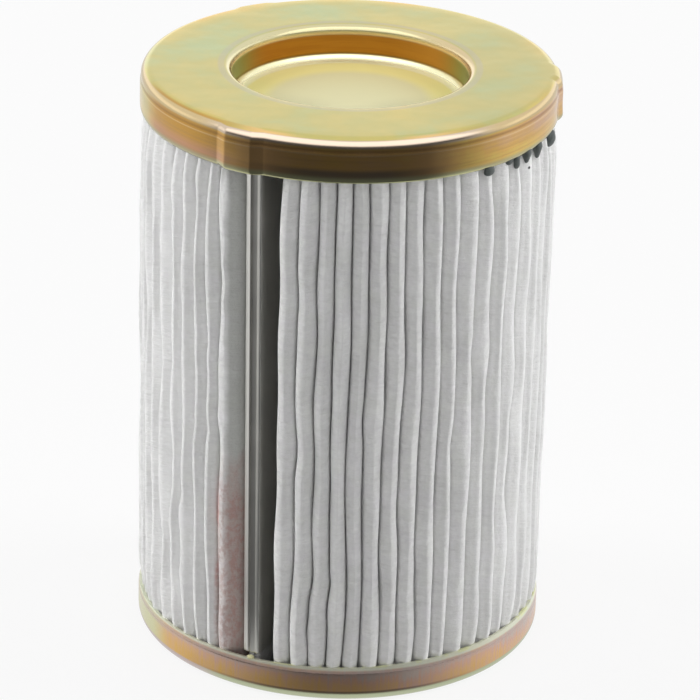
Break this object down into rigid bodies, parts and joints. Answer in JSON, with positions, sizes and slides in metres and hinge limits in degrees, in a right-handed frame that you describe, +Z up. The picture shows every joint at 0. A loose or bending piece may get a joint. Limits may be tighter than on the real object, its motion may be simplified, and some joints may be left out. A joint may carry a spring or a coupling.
{
  "type": "hydraulic filter",
  "caption": "Pleated hydraulic filter cartridge with a closed dished top cap, centring lugs on its skirt, and an open bottom cap with a rubber outlet seal.",
  "frame": {"origin": "on the cartridge's axis, in the plane of the bottom cap's underside that it stands on", "axes": "+Z up the cartridge's axis, from the open bottom cap to the closed top cap; -Y faces the viewer, and the seam clip is a little to the left of -Y"},
  "size_m": [0.121, 0.12, 0.174],
  "materials": {
    "chromated_steel": "pressed sheet, yellow zinc chromate, slightly iridescent",
    "fleece": "pale grey non-woven fleece",
    "strip_steel": "galvanised strip",
    "potting": "set adhesive",
    "black_rubber": "moulded nitrile rubber"
  },
  "bodies": {
    "root": {"top_cap": "chromated_steel", "bottom_cap": "chromated_steel", "pleat_pack": "fleece", "seam_clip": "strip_steel", "core_tube": "strip_steel", "top_bond": "potting", "bottom_bond": "potting", "seal_ring": "black_rubber"}
  },
  "joints": []
}
